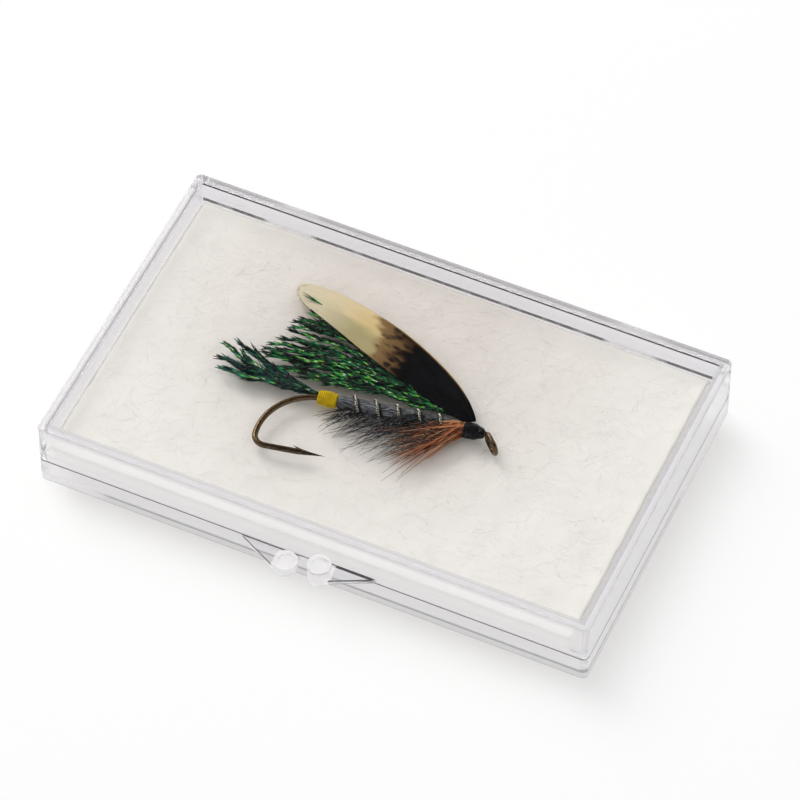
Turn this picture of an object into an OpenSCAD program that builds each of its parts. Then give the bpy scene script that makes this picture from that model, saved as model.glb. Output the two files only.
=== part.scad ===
// Clear hinged fly box with a wadding pad and one dressed salmon fly.
// Millimetres. +Z is up, the front with the two finger tabs faces -Y.
// The origin is the centre of the box's underside.

/* [Box] */
// Width of the box, left to right
box_w = 94; // [84:1:120]
// Depth of the box between its flat front and back faces
box_d = 58; // [52:1:80]
// Height of the closed box
box_h = 12.7; // [12.5:0.1:20]
// Height of the base up to the rim on which the lid closes
base_h = 5; // [4.6:0.1:5.6]
// Thickness of the upright walls
wall = 1.25; // [1.1:0.05:1.5]
// Thickness of the floor of the base
floor_t = 1.2; // [0.8:0.05:1.5]
// Thickness of the top plate of the lid
top_t = 1.1; // [0.8:0.05:1.2]
// Outer radius of the upright corners
corner_r = 1; // [1:0.1:4]
// Radius along the outer edge of the underside
foot_r = 0.3; // [0.3:0.1:0.9]
// Radius along the upper outer edge of the lid
brow_r = 0.3; // [0.15:0.05:0.6]
// Radius along the inner edges of the floor and of the top plate
cove_r = 0.3; // [0.15:0.05:0.35]

/* [Rim] */
// Height of the inner lip that locates the lid
lip_h = 0.9; // [0.5:0.1:1.2]
// Thickness of that lip, taken from the inner side of the wall
lip_t = 0.55; // [0.4:0.05:0.6]
// Gap between the two rims when the box is closed
rim_gap = 0.05; // [0.02:0.01:0.1]
// Clearance between the lip and the rebate in the lid
lap_gap = 0.1; // [0.05:0.01:0.15]

/* [Hinges] */
// Distance of each hinge from the middle of the back
hinge_x = 30; // [24:1:34]
// Distance of the hinge axis behind the back face
hinge_out = 0.35; // [0.3:0.01:0.45]
// Radius of the ears and of the lug between them
barrel_r = 1; // [0.95:0.05:1.1]
// Width of the lid's lug
lug_w = 3; // [2.4:0.1:4]
// Width of each ear on the base
ear_w = 1.5; // [1.2:0.1:2]
// Radius of the pins moulded on the lug
pin_r = 0.5; // [0.4:0.05:0.6]
// Running clearance between a pin and its ear
pin_gap = 0.06; // [0.03:0.01:0.1]
// Side gap between the lug and an ear, and round both barrels
barrel_gap = 0.12; // [0.08:0.01:0.15]

/* [Finger tabs] */
// Distance of each knob from the middle of the front
knob_x = 2.9; // [2.4:0.1:5]
// Radius of a knob
knob_r = 1.9; // [1.5:0.1:2]
// Distance of a knob's centre in front of the front face
knob_out = 2.1; // [2.1:0.1:3]
// Height of the base's knob above its rim
base_knob_up = 0.6; // [0.2:0.1:1.5]
// Depth of the base's knob below its rim
base_knob_down = 1.75; // [1.2:0.05:3]
// Height of the lid's knob above the rim
lid_knob_up = 2.8; // [1.5:0.1:4]
// Depth of the lid's knob below the rim
lid_knob_down = 1.2; // [0.2:0.1:2.5]
// Distance from the middle of the front at which a web starts
web_x = 11.5; // [9:0.5:16]
// Thickness of a web
web_t = 1; // [0.8:0.1:1.2]
// Radius of the shallow dish in the top of a knob
dish_r = 1.2; // [0.8:0.1:1.4]

/* [Pad] */
// Height kept free for the fly between the pad and the lid
fly_room = 4.15; // [4.1:0.05:4.8]
// Extra height of the pad where its edges curl up
pad_curl = 0.55; // [0.2:0.05:0.7]
// Width of the band that curls up
curl_w = 4; // [2:0.5:8]
// Gap between the pad and the left wall
pad_gap_left = 0.35; // [0.3:0.05:2]
// Gap between the pad and the right wall
pad_gap_right = 1.7; // [0.3:0.05:3]
// Gap between the pad and the back wall
pad_gap_back = 0.35; // [0.35:0.05:2]
// Gap between the pad and the front wall
pad_gap_front = 0.5; // [0.35:0.05:2]

/* [Hook] */
// Place of the fly on the pad, left to right, at the bend end of its shank
fly_x = -11.1; // [-16:0.5:-6]
// Place of the fly on the pad, front to back, at the same point
fly_y = -3.05; // [-8:0.5:0]
// Turn of the fly on the pad
fly_turn = 9.2; // [0:1:16]
// Diameter of the hook's wire
wire_d = 0.96; // [0.8:0.02:1.1]
// Diameter of the same wire where it is drawn down for the eye
eye_wire_d = 0.8; // [0.6:0.02:0.9]
// Distance from the origin of the fly to where the bend starts
bend_x = 2; // [1:0.1:3]
// Radius of the upper bend
bend_r = 8.9; // [8:0.1:10]
// Sweep of the upper bend
bend_sweep = 95; // [88:1:98]
// Radius of the lower bend
throat_r = 2; // [1.5:0.1:3]
// Sweep of the lower bend
throat_sweep = 87.5; // [82:0.5:92]
// Length of the point limb after the bend
limb_l = 9.7; // [8:0.1:11]
// Length of the tapered point
point_l = 4.6; // [3.5:0.1:5]
// Length of the barb
barb_l = 2.5; // [1.5:0.1:3]
// Length of the eye's two straight legs
eye_leg = 1.5; // [0.6:0.1:2]
// Radius of the eye's round ends, to the middle of the wire
eye_r = 1; // [0.85:0.05:1.2]
// Downward turn of the eye
eye_turn = 52; // [35:1:60]

/* [Body of the fly] */
// Start of the floss tag, along the shank
tag_x = 0.6; // [0.4:0.1:0.8]
// Length of the tag
tag_l = 3.2; // [2.6:0.1:3.6]
// Radius of the tag
tag_r = 1.2; // [1:0.05:1.3]
// Length of the floss body
body_l = 19.3; // [17:0.1:21]
// Radius of the body at its thickest
body_r = 1.25; // [1.1:0.05:1.3]
// Width of the oval tinsel of the rib
rib_d = 0.45; // [0.35:0.01:0.5]
// Turns of the rib
rib_turns = 5; // [3:1:7]
// Length of the thread head
head_l = 3.4; // [3:0.1:4]
// Radius of the thread head
head_r = 1.35; // [1.1:0.05:1.4]

/* [Feathers] */
// Thickness of one wing strip
wing_t = 0.5; // [0.3:0.05:0.5]
// Thickness of the underwing and of the tail
herl_t = 0.6; // [0.4:0.05:0.6]
// Thickness of one layer of hackle
hackle_t = 0.5; // [0.3:0.05:0.5]
// Strands in the tail
tail_strands = 9; // [5:1:10]
// Length of the longest strand of the tail
tail_l = 18; // [14:0.5:20]
// Strands in the underwing
herl_strands = 13; // [8:1:14]
// Length of the longest strand of the underwing
herl_l = 35.5; // [32:0.5:37]
// Fibres in the body hackle
body_fibres = 30; // [16:1:32]
// Length of the longest fibre of the body hackle
body_fibre_l = 12.5; // [9:0.5:13]
// Fibres in the throat hackle
throat_fibres = 24; // [12:1:26]
// Length of the longest fibre of the throat hackle
throat_fibre_l = 14.5; // [10:0.5:15]

/* [Hidden] */
$fn = 48;

clear_plastic = [0.84, 0.84, 0.9];
half_d = box_d / 2;
inner_w = box_w - 2 * wall;
inner_d = box_d - 2 * wall;
// least inner radius of the upright corners, a little more than that of the inner edges
inner_r = max(corner_r - wall, 0.4);
// depth of overlap that fuses a tab, ear or web to its wall
fuse = 0.3;
// length by which a cut runs past the face it opens
cut = 1;
// depth by which a rounded edge runs into the block behind it
edge_lap = 0.1;
hinge_y = half_d + hinge_out;
relief_r = barrel_r + barrel_gap;
knob_taper = 0.6;
knob_foot_r = knob_r * 0.75;
dish_depth = 0.35;
web_in = knob_x - knob_r * 0.8;
pad_top = box_h - top_t - fly_room;
pad_gap_floor = 0.05;
pad_round = 0.8;
pad_corner = 1.2;
rest_gap = 0.05;
rib_gap = 0.03;
wire_r = wire_d / 2;
eye_wire_r = eye_wire_d / 2;
wire_gap = 0.02;
// each stretch of the wire starts this far inside the one before it and is this much thinner
wire_lap = 0.05;
wire_step = 0.01;
seam = 0.05;
fly_z = pad_top + rest_gap + body_r + rib_gap + rib_d;
body_x = tag_x + tag_l + seam;
collar_x = body_x + body_l + seam;
collar_l = 1.1;
collar_r = 1.3;
head_x = collar_x + collar_l + seam;
eye_bend_r = 0.6;
eye_bend_x = head_x + head_l;
layer_gap = 0.05;
feather_root = body_r + rib_gap + rib_d + layer_gap;
wing_root_y = head_r + layer_gap;

// ---------- outlines and small helpers ----------

function bezier(a, b, c, d, n) = [for (i = [0:n]) let (t = i / n, s = 1 - t)
    s * s * s * a + 3 * s * s * t * b + 3 * s * t * t * c + t * t * t * d];
function conic(a, b, c, n) = [for (i = [0:n]) let (t = i / n, s = 1 - t)
    s * s * a + 2 * s * t * b + t * t * c];
function side_of(p, q) = let (v = (q - p) / norm(q - p)) [-v[1], v[0]];

// Rectangle with round corners
module plate(w, d, r) {
    square([w - 2 * r, d], center = true);
    square([w, d - 2 * r], center = true);
    for (sx = [-1, 1])
        for (sy = [-1, 1])
            translate([sx * (w / 2 - r), sy * (d / 2 - r)])
                circle(r);
}

// Quarter of a disc in the corner towards +X and -Y, with laps on its two straight sides
module quarter(r) {
    intersection() {
        circle(r);
        translate([0, -r])
            square(r);
    }
    translate([-edge_lap, -r])
        square([edge_lap, r + edge_lap]);
    square([r, edge_lap]);
}

// Upright block with round corners and a rounded lower edge, from z = 0 to h
module tub(w, d, h, r, edge) {
    translate([0, 0, edge])
        linear_extrude(h - edge)
            plate(w, d, r);
    linear_extrude(edge + edge_lap)
        plate(w - 2 * edge, d - 2 * edge, r - edge);
    for (turn = [0, 180]) {
        rotate([0, 0, turn])
            translate([w / 2 - edge, d / 2 - r, edge])
                rotate([90, 0, 0])
                    linear_extrude(d - 2 * r)
                        quarter(edge);
        rotate([0, 0, turn])
            translate([-(w / 2 - r), d / 2 - edge, edge])
                rotate([90, 0, 90])
                    linear_extrude(w - 2 * r)
                        quarter(edge);
    }
    for (sx = [-1, 1])
        for (sy = [-1, 1])
            translate([sx * (w / 2 - r), sy * (d / 2 - r), edge])
                rotate([0, 0, sx > 0 ? (sy > 0 ? 0 : -90) : (sy > 0 ? 90 : 180)])
                    rotate_extrude(angle = 90)
                        translate([r - edge, 0])
                            quarter(edge);
}

// Cylinder along X about the hinge axis, from x0 to x1
module on_hinge(x0, x1, r) {
    translate([x0, hinge_y, base_h])
        rotate([0, 90, 0])
            cylinder(h = x1 - x0, r = r);
}

// ---------- box ----------

// Finger knob on the +X side, from z0 to z1, with a shallow dish in its top
module knob(z0, z1) {
    translate([knob_x, -half_d - knob_out, z0])
        difference() {
            union() {
                cylinder(h = knob_taper, r1 = knob_foot_r, r2 = knob_r);
                translate([0, 0, knob_taper])
                    cylinder(h = z1 - z0 - knob_taper, r = knob_r);
            }
            translate([0, 0, z1 - z0 - dish_depth])
                cylinder(h = dish_depth + cut, r = dish_r);
        }
}

// Flat web on the +X side that carries the knob, tangent to its outer side
module web(z0) {
    reach = norm([web_x - knob_x, knob_out]);
    slope = atan2(knob_out, web_x - knob_x) + asin(knob_r / reach);
    run = sqrt(reach * reach - knob_r * knob_r);
    translate([0, -half_d, z0])
        linear_extrude(web_t)
            polygon([[web_in, fuse], [web_x, fuse], [web_x, 0],
                     [web_x - run * cos(slope), -run * sin(slope)],
                     [knob_x, -knob_out], [web_in, 0]]);
}

module base_tab() {
    mirror([1, 0, 0]) {
        knob(base_h - base_knob_down, base_h + base_knob_up);
        web(base_h - web_t);
    }
}

module lid_tab() {
    knob(base_h - lid_knob_down, base_h + lid_knob_up);
    web(base_h + rim_gap);
}

module base() {
    ear_in = lug_w / 2 + barrel_gap;
    color(clear_plastic, 0.35) {
        difference() {
            union() {
                tub(box_w, box_d, base_h, corner_r, foot_r);
                translate([0, 0, base_h - fuse])
                    linear_extrude(lip_h + fuse)
                        plate(inner_w + 2 * lip_t, inner_d + 2 * lip_t, inner_r + lip_t);
                for (side = [-1, 1])
                    for (sx = [-1, 1])
                        translate([side * hinge_x + sx * (ear_in + ear_w / 2), 0, 0])
                            on_hinge(-ear_w / 2, ear_w / 2, barrel_r);
            }
            translate([0, 0, floor_t])
                tub(inner_w, inner_d, box_h, inner_r, cove_r);
            for (side = [-1, 1])
                translate([side * hinge_x, 0, 0]) {
                    on_hinge(-ear_in, ear_in, relief_r);
                    on_hinge(-ear_in - ear_w - cut, ear_in + ear_w + cut, pin_r + pin_gap);
                }
        }
        base_tab();
    }
}

module lid() {
    lug_half = lug_w / 2;
    ear_in = lug_half + barrel_gap;
    ear_out = ear_in + ear_w;
    foot = base_h + rim_gap;
    color(clear_plastic, 0.35) {
        difference() {
            translate([0, 0, box_h])
                mirror([0, 0, 1])
                    tub(box_w, box_d, box_h - foot, corner_r, brow_r);
            translate([0, 0, box_h - top_t])
                mirror([0, 0, 1])
                    tub(inner_w, inner_d, box_h, inner_r, cove_r);
            translate([0, 0, foot - cut])
                linear_extrude(lip_h + rim_gap + cut)
                    plate(inner_w + 2 * (lip_t + lap_gap), inner_d + 2 * (lip_t + lap_gap),
                          inner_r + lip_t + lap_gap);
            for (side = [-1, 1])
                for (sx = [-1, 1])
                    translate([side * hinge_x + sx * (ear_in + ear_w / 2), 0, 0])
                        on_hinge(-ear_w / 2 - barrel_gap, ear_w / 2 + barrel_gap, relief_r);
        }
        for (side = [-1, 1])
            translate([side * hinge_x, 0, 0]) {
                on_hinge(-lug_half, lug_half, barrel_r);
                on_hinge(-ear_out, ear_out, pin_r);
            }
        lid_tab();
    }
}

// ---------- pad ----------

pad_x0 = -inner_w / 2 + pad_gap_left;
pad_x1 = inner_w / 2 - pad_gap_right;
pad_y0 = -inner_d / 2 + pad_gap_front;
pad_y1 = inner_d / 2 - pad_gap_back;
pad_nx = 26;
pad_ny = 18;

// 0 at the middle of a span, 1 at its ends, rising only in the curled band
function curl(v, v0, v1) = let (edge = min(v - v0, v1 - v)) edge > curl_w ? 0 : pow(1 - edge / curl_w, 2);
// cosine spacing puts more steps near the ends of the span
function spread(i, n, v0, v1) = (v0 + v1) / 2 - (v1 - v0) / 2 * cos(180 * i / n);
function pad_drop(v, v0, v1) = let (edge = min(v - v0, v1 - v)) edge >= pad_round ? 0
    : pad_round - sqrt(pad_round * pad_round - pow(pad_round - edge, 2));
function pad_height(x, y) = pad_top + pad_curl * max(curl(x, pad_x0, pad_x1), curl(y, pad_y0, pad_y1))
    - max(pad_drop(x, pad_x0, pad_x1), pad_drop(y, pad_y0, pad_y1));
// pulls a grid point in so that the pad's corners come out round
function pad_point(x, y) = let (cx = x > 0 ? pad_x1 - pad_corner : pad_x0 + pad_corner,
                                cy = y > 0 ? pad_y1 - pad_corner : pad_y0 + pad_corner,
                                dx = x > 0 ? max(x - cx, 0) : min(x - cx, 0),
                                dy = y > 0 ? max(y - cy, 0) : min(y - cy, 0),
                                far = norm([dx, dy]), square_far = max(abs(dx), abs(dy)),
                                k = far > 0 ? square_far / far : 1)
    (dx != 0 && dy != 0) ? [cx + dx * k, cy + dy * k] : [x, y];

module pad() {
    cols = pad_nx + 1;
    rows = pad_ny + 1;
    grid = [for (j = [0:pad_ny]) for (i = [0:pad_nx])
        [spread(i, pad_nx, pad_x0, pad_x1), spread(j, pad_ny, pad_y0, pad_y1)]];
    upper = [for (g = grid) let (p = pad_point(g[0], g[1])) [p[0], p[1], pad_height(g[0], g[1])]];
    lower = [for (g = grid) let (p = pad_point(g[0], g[1])) [p[0], p[1], floor_t + pad_gap_floor]];
    count = cols * rows;
    rim = concat([for (i = [0:pad_nx - 1]) i],
                 [for (j = [0:pad_ny - 1]) j * cols + pad_nx],
                 [for (i = [pad_nx:-1:1]) pad_ny * cols + i],
                 [for (j = [pad_ny:-1:1]) j * cols]);
    color([0.93, 0.92, 0.88])
        polyhedron(points = concat(upper, lower), faces = concat(
            [for (j = [0:pad_ny - 1]) for (i = [0:pad_nx - 1]) each let (k = j * cols + i)
                [[k, k + cols + 1, k + 1], [k, k + cols, k + cols + 1]]],
            [for (k = [0:len(rim) - 1]) each let (p = rim[k], q = rim[(k + 1) % len(rim)])
                [[p, q, count + q], [p, count + q, count + p]]],
            [[for (k = [0:len(rim) - 1]) count + rim[k]]]));
}

// ---------- fly ----------

// Places the fly's own frame on the pad: x along the shank to the eye, y to the wing side
module on_pad() {
    translate([fly_x, fly_y, fly_z])
        rotate([0, 0, fly_turn])
            children();
}

// Cylinder along the shank between two stations
module along(x0, x1, r) {
    translate([x0, 0, 0])
        rotate([0, 90, 0])
            cylinder(h = x1 - x0, r = r);
}

// Round wire bent about the frame's Z axis, starting just before the origin towards -X
module wire_bend(radius, sweep, r) {
    lap = wire_lap / radius * 180 / PI;
    translate([0, -radius, 0])
        rotate([0, 0, 90 - lap])
            rotate_extrude(angle = sweep + lap)
                translate([radius, 0])
                    circle(r, $fn = 24);
}

// Round wire along the frame's X axis from the origin
module wire_run(length, r0, r1) {
    rotate([0, 90, 0])
        cylinder(h = length, r1 = r0, r2 = r1, $fn = 24);
}

// Half of a ring of wire that stands in the frame's XZ plane, open towards +X
module eye_end() {
    rotate([90, 0, 0])
        rotate([0, 0, 90])
            rotate_extrude(angle = 180)
                translate([eye_r, 0])
                    circle(eye_wire_r, $fn = 24);
}

// Eye: the wire turns down and ends in an oval loop that stands across the shank
module eye_loop() {
    translate([eye_bend_x, 0, 0])
        mirror([1, 0, 0])
            wire_bend(eye_bend_r, eye_turn, wire_r - wire_step);
    translate([eye_bend_x + eye_bend_r * sin(eye_turn), -eye_bend_r * (1 - cos(eye_turn)), 0])
        rotate([0, 0, -eye_turn])
            translate([eye_r, 0, 0]) {
                eye_end();
                translate([eye_leg, 0, 0])
                    mirror([1, 0, 0])
                        eye_end();
                for (z = [-eye_r, eye_r])
                    translate([0, 0, z])
                        wire_run(eye_leg, eye_wire_r, eye_wire_r);
            }
}

limb_turn = bend_sweep + throat_sweep;
limb_x = bend_x - bend_r * sin(bend_sweep) + throat_r * (sin(bend_sweep) - sin(limb_turn));
limb_y = -bend_r * (1 - cos(bend_sweep)) - throat_r * (cos(bend_sweep) - cos(limb_turn));
point_tip_r = 0.03;
barb_r = 0.26;
barb_tip_r = 0.04;
// turn of the barb from the point's direction
barb_turn = 157;

module hook() {
    straight = limb_l - point_l;
    barb_root = straight + 1;
    limb_r = wire_r - 3 * wire_step;
    color([0.23, 0.19, 0.14])
        on_pad() {
            translate([bend_x, 0, 0])
                wire_run(eye_bend_x - bend_x, wire_r, wire_r);
            eye_loop();
            translate([bend_x, 0, 0])
                wire_bend(bend_r, bend_sweep, wire_r - wire_step);
            translate([bend_x - bend_r * sin(bend_sweep), -bend_r * (1 - cos(bend_sweep)), 0])
                rotate([0, 0, bend_sweep])
                    wire_bend(throat_r, throat_sweep, wire_r - 2 * wire_step);
            translate([limb_x, limb_y, 0])
                rotate([0, 0, limb_turn - 180]) {
                    translate([-wire_lap, 0, 0])
                        wire_run(straight + wire_lap, limb_r, limb_r);
                    translate([straight, 0, 0])
                        wire_run(point_l, limb_r, point_tip_r);
                    translate([barb_root, limb_r * 0.3, 0])
                        rotate([0, 0, barb_turn])
                            wire_run(barb_l, barb_r, barb_tip_r);
                }
        }
}

// Body of revolution about the shank: profile is a list of [station, radius]
module turned(profile) {
    rotate([0, 90, 0])
        rotate_extrude()
            polygon(concat([[0, profile[0][0]]],
                           [for (p = profile) [p[1], p[0]]],
                           [[0, profile[len(profile) - 1][0]]]));
}

// drop of the wire's middle below the shank's line where the tag starts, round the bend
tag_drop = bend_r - sqrt(bend_r * bend_r - pow(bend_x - tag_x, 2));

module tag_floss() {
    color([0.86, 0.72, 0.1])
        on_pad()
            difference() {
                turned([[tag_x, tag_r * 0.86], [tag_x + tag_l * 0.3, tag_r * 0.98],
                        [tag_x + tag_l * 0.75, tag_r], [tag_x + tag_l, tag_r * 0.94]]);
                along(tag_x - cut, tag_x + tag_l + cut, wire_r + tag_drop + wire_gap);
            }
}

module body_floss() {
    color([0.55, 0.58, 0.62])
        on_pad()
            difference() {
                turned([[body_x, body_r * 0.86], [body_x + body_l * 0.35, body_r * 0.97],
                        [body_x + body_l * 0.8, body_r], [body_x + body_l, body_r * 0.9]]);
                along(body_x - cut, body_x + body_l + cut, wire_r + wire_gap);
            }
}

module head_thread() {
    color([0.08, 0.08, 0.1])
        on_pad()
            difference() {
                turned([[head_x, head_r * 0.85], [head_x + head_l * 0.2, head_r],
                        [head_x + head_l * 0.6, head_r * 0.94], [head_x + head_l, head_r * 0.5]]);
                along(head_x - cut, head_x + head_l + cut, wire_r + wire_gap);
            }
}

// ---------- rib ----------

rib_r = rib_d / 2;
rib_x0 = body_x + 0.6;
rib_x1 = body_x + body_l - 0.6;
// angle about the shank at which the rib starts, from the side of the wing
rib_start = -110;
rib_rings = rib_turns * 24;
rib_orbit = body_r + rib_gap + rib_r;
// share of the length over which the winding eases out of a straight start
rib_ease = 0.05;
function eased(u) = u < rib_ease ? u * u / (2 * rib_ease) : u - rib_ease / 2;
function rib_phase(u) = (u <= 1 - rib_ease ? eased(u) : 1 - rib_ease - eased(1 - u)) / (1 - rib_ease);
function rib_point(u) = let (a = rib_start + 360 * rib_turns * rib_phase(u))
    [rib_x0 + (rib_x1 - rib_x0) * u, rib_orbit * cos(a), rib_orbit * sin(a)];
rib_path = [for (i = [0:rib_rings]) rib_point(i / rib_rings)];

// Six-sided tube along a path that winds about the X axis
module wound_tube(path, r) {
    n = len(path);
    sides = 6;
    rings = [for (i = [0:n - 1]) let (p = path[i], q = path[min(i + 1, n - 1)], o = path[max(i - 1, 0)],
                                      t = (q - o) / norm(q - o),
                                      out = [0, p[1], p[2]] / norm([0, p[1], p[2]]),
                                      flat = out - t * (out * t), up = flat / norm(flat), across = cross(t, up))
        for (k = [0:sides - 1]) p + r * (cos(60 * k + 30) * up + sin(60 * k + 30) * across)];
    last = (n - 1) * sides;
    polyhedron(points = rings, faces = concat(
        [for (i = [0:n - 2]) for (k = [0:sides - 1]) each let (a = i * sides + k, b = i * sides + (k + 1) % sides)
            [[a, b + sides, b], [a, a + sides, b + sides]]],
        [for (k = [1:sides - 2]) [0, k, k + 1]],
        [for (k = [1:sides - 2]) [last, last + k + 1, last + k]]));
}

rib_gaps = [for (i = [0:rib_rings]) for (j = [i + 12:2:rib_rings]) norm(rib_path[i] - rib_path[j]) - rib_d];
echo(str("least gap of the rib to itself ", min(rib_gaps), " mm"));

module rib_tinsel() {
    color([0.8, 0.8, 0.76])
        on_pad()
            wound_tube(rib_path, rib_r);
}

// ---------- feathers ----------

// Point beside a curved strand [root, way, tip] at share t of its length, on one hand of it
function strand_side(c, t, hand, w0, w1) =
    let (along = 2 * (1 - t) * (c[1] - c[0]) + 2 * t * (c[2] - c[1]),
         mid = (1 - t) * (1 - t) * c[0] + 2 * (1 - t) * t * c[1] + t * t * c[2],
         half = (w0 + (w1 - w0) * t) / 2)
    mid + hand * half * [-along[1], along[0]] / norm(along);

// Outline of a fan of strands, listed clockwise, that part at a share of their length
function fan(strands, w0, w1, part) = let (last = len(strands) - 1, n = 6)
    [for (i = [0:last]) let (out = i == 0 ? 0 : part, back = i == last ? 0 : part)
        each concat([for (k = [0:n]) strand_side(strands[i], out + (1 - out) * k / n, 1, w0, w1)],
                    [for (k = [n:-1:0]) strand_side(strands[i], back + (1 - back) * k / n, -1, w0, w1)])];

// Strands that share a root
module bunch(strands, w0, w1) {
    for (c = strands)
        polygon(fan([c], w0, w1, 0));
}

// Flat layer of the fly between two heights beside the shank
module layer(z0, z1) {
    translate([0, 0, z0])
        linear_extrude(z1 - z0)
            children();
}

function polar(from, length, angle) = from + length * [cos(angle), sin(angle)];
// share of the way through a fan, and lengths that repeat every five strands
function step(i, n) = i / (n - 1);
function ragged(i) = 1 - 0.055 * ((i * 3) % 5);

tail_w0 = 0.55;
tail_w1 = 0.5;
tail_root = [tag_x - seam, wire_r + 0.3];
module tail() {
    color([0.1, 0.42, 0.2])
        on_pad()
            layer(-1.5 * herl_t - layer_gap, -herl_t / 2 - layer_gap)
                bunch([for (i = [0:tail_strands - 1]) let (s = step(i, tail_strands))
                    [tail_root, tail_root + tail_l * [-0.44, 0.006 + 0.067 * s],
                     polar(tail_root, tail_l * ragged(i), 179 - 24 * s)]],
                    tail_w0, tail_w1);
}

herl_w0 = 1.1;
herl_w1 = 0.6;
herl_root = [head_x - 0.3, feather_root + herl_w0 / 2];
module underwing() {
    color([0.08, 0.3, 0.18])
        on_pad()
            layer(-herl_t / 2, herl_t / 2)
                bunch([for (i = [0:herl_strands - 1]) let (s = step(i, herl_strands))
                    [herl_root, herl_root + herl_l * [-0.366, 0.025 + 0.175 * s],
                     polar(herl_root, herl_l * ragged(i), 176.5 - 22 * s)]],
                    herl_w0, herl_w1);
}

wing_root_back = [head_x, wing_root_y];
wing_root_front = [head_x + 1.4, wing_root_y + 0.7];
wing_tip_top = [-6.5, 22.4];
wing_tip_low = [-6.7, 17.5];
module wing_outline() {
    polygon(concat(
        bezier(wing_root_front, [22, 10.5], [9, 18.2], wing_tip_top, 18),
        conic(wing_tip_top, [-10.4, 20.2], wing_tip_low, 8),
        bezier(wing_tip_low, [3, 12.2], [12.5, 5.4], wing_root_back, 18)));
}

module wing_strip(side) {
    inner = herl_t / 2 + layer_gap;
    on_pad()
        layer(side > 0 ? inner : -inner - wing_t, side > 0 ? inner + wing_t : -inner)
            wing_outline();
}

module wing_near() {
    color([0.6, 0.5, 0.3])
        wing_strip(1);
}

module wing_far() {
    color([0.5, 0.42, 0.27])
        wing_strip(-1);
}

fibre_w0 = 0.2;
fibre_w1 = 0.1;
body_part = 0.3;
module body_hackle() {
    start = body_x + 0.6;
    stretch = body_l - 1.2;
    color([0.25, 0.26, 0.28])
        on_pad()
            layer(-layer_gap / 2 - hackle_t, -layer_gap / 2)
                polygon(fan([for (i = [body_fibres - 1:-1:0])
                    let (s = step(i, body_fibres), root = [start + stretch * s, -feather_root - fibre_w0 / 2],
                         reach = body_fibre_l * (0.4 + 0.6 * sqrt(s)) * ragged(i),
                         tip = polar(root, reach, 197 + 24 * sqrt(s)))
                    [root, (root + tip) / 2 + reach * [0.03, -0.04], tip]],
                    fibre_w0, fibre_w1, body_part));
}

module throat_hackle() {
    low = -collar_r + 0.4;
    color([0.62, 0.27, 0.1])
        on_pad() {
            difference() {
                along(collar_x, collar_x + collar_l, collar_r);
                along(collar_x - cut, collar_x + collar_l + cut, wire_r + wire_gap);
            }
            layer(layer_gap / 2, layer_gap / 2 + hackle_t)
                bunch([for (i = [0:throat_fibres - 1])
                    let (s = step(i, throat_fibres), root = [collar_x + 0.2 + (collar_l - 0.4) * s, low])
                    [root, polar(root, throat_fibre_l * 0.5, 213 + 36 * s),
                     polar(root, throat_fibre_l * (1 - 0.08 * s) * ragged(i), 206 + 40 * s)]],
                    fibre_w0, fibre_w1);
        }
}

base();
lid();
pad();
hook();
tag_floss();
tail();
body_floss();
rib_tinsel();
body_hackle();
throat_hackle();
underwing();
wing_far();
wing_near();
head_thread();
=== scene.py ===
import random
from math import atan2, copysign, cos, hypot, pi, radians, sin, sqrt, tau

import bmesh
import bpy
from bpy.props import FloatProperty, FloatVectorProperty, IntProperty, PointerProperty
from mathutils import Matrix, Vector, noise


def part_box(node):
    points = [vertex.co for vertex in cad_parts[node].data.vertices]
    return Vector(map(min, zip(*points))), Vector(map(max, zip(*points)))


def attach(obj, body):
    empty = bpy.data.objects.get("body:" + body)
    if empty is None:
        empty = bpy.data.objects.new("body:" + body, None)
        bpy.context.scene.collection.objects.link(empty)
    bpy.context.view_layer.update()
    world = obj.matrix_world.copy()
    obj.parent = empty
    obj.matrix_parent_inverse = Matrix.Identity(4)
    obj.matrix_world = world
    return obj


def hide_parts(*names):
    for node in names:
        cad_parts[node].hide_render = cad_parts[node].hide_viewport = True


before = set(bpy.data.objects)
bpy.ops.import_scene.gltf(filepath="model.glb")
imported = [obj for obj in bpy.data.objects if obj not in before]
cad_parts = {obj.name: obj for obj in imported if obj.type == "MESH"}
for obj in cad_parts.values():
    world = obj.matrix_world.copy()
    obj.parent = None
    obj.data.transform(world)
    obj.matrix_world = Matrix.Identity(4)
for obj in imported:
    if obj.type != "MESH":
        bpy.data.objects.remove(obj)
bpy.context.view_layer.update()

bl_info = {
    "name": "Fly Box Looks",
    "version": (1, 0, 0),
    "blender": (4, 5, 0),
    "location": "3D View > Sidebar > Fly Box",
    "description": "Finishes the clear box, its wadding pad and the dressed salmon fly around the packed frame",
    "category": "Add Mesh",
}

MM = 0.001
UP = Vector((0, 0, 1))

# Places on the box in mm: half its width and depth, its wall, its parting line and top, the painted gap shadow
# inside its back wall, and how far out the hinges and the knobs are
BOX_HALF = (47.0, 29.0)
WALL = 1.25
RIM_UP, BOX_TOP = 5.0, 12.7
GAP_SHADOW_UP, HINGE_OUT, KNOB_OUT = 7.6, 30.0, 5.0

# Middle and reach in mm of the painted shade on the pad
PAINTED_SHADE_AT, PAINTED_SHADE_REACH = (-5, 20), (40, 45)

# Where the body starts, in mm from the fly's own origin, how far the fly is turned, and half its wire
BODY_START = 3.85
FLY_TURN = radians(9.2)
SHANK_HALF = 0.48


def seen(red, green, blue):
    """A colour as it looks, from 0 to 255, in the linear values that a socket takes."""
    return tuple((c / 255 / 12.92) if c < 10.3 else ((c / 255 + 0.055) / 1.055) ** 2.4 for c in (red, green, blue))


def deeper(colour, share):
    """A share of a colour's light."""
    return [c * share for c in colour]


def colour_of(name, description, rgb):
    return FloatVectorProperty(name=name, description=description, default=seen(*rgb), subtype="COLOR", min=0, max=1)


def number_of(name, description, value, **kind):
    return FloatProperty(name=name, description=description, default=value, **kind)


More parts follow.
